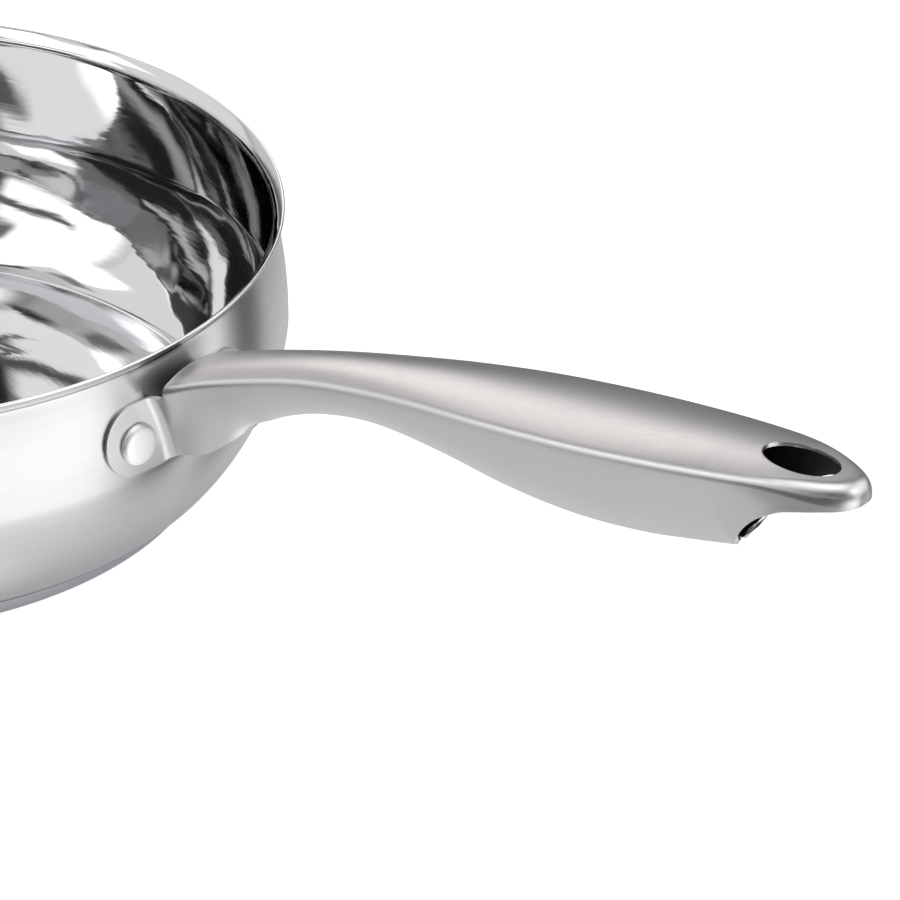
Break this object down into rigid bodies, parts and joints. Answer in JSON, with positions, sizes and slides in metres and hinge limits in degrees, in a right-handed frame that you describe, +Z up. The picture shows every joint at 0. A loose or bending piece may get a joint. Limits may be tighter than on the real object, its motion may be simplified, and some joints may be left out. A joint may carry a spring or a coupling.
{
  "type": "frying pan",
  "caption": "Deep stainless steel frying pan with a capsule base, a rolled pouring rim and one hollow folded-sheet handle, riveted on, with a hang hole.",
  "frame": {"origin": "centre of the base's underside, where the pan stands", "axes": "+X along the handle, +Z up out of the open pan"},
  "size_m": [0.452, 0.2414, 0.1075],
  "materials": {
    "body_steel": "satin brushed round the outside, mirror polished inside and on the rim",
    "core_aluminium": "plain, sealed inside the base",
    "cap_steel": "satin, turned",
    "handle_steel": "fine satin along the grip",
    "rivet_steel": "bright, lightly frosted"
  },
  "bodies": {
    "root": {"pan_body": "body_steel", "heat_core": "core_aluminium", "base_cap": "cap_steel", "handle": "handle_steel", "rivet_right": "rivet_steel", "rivet_left": "rivet_steel"}
  },
  "joints": []
}
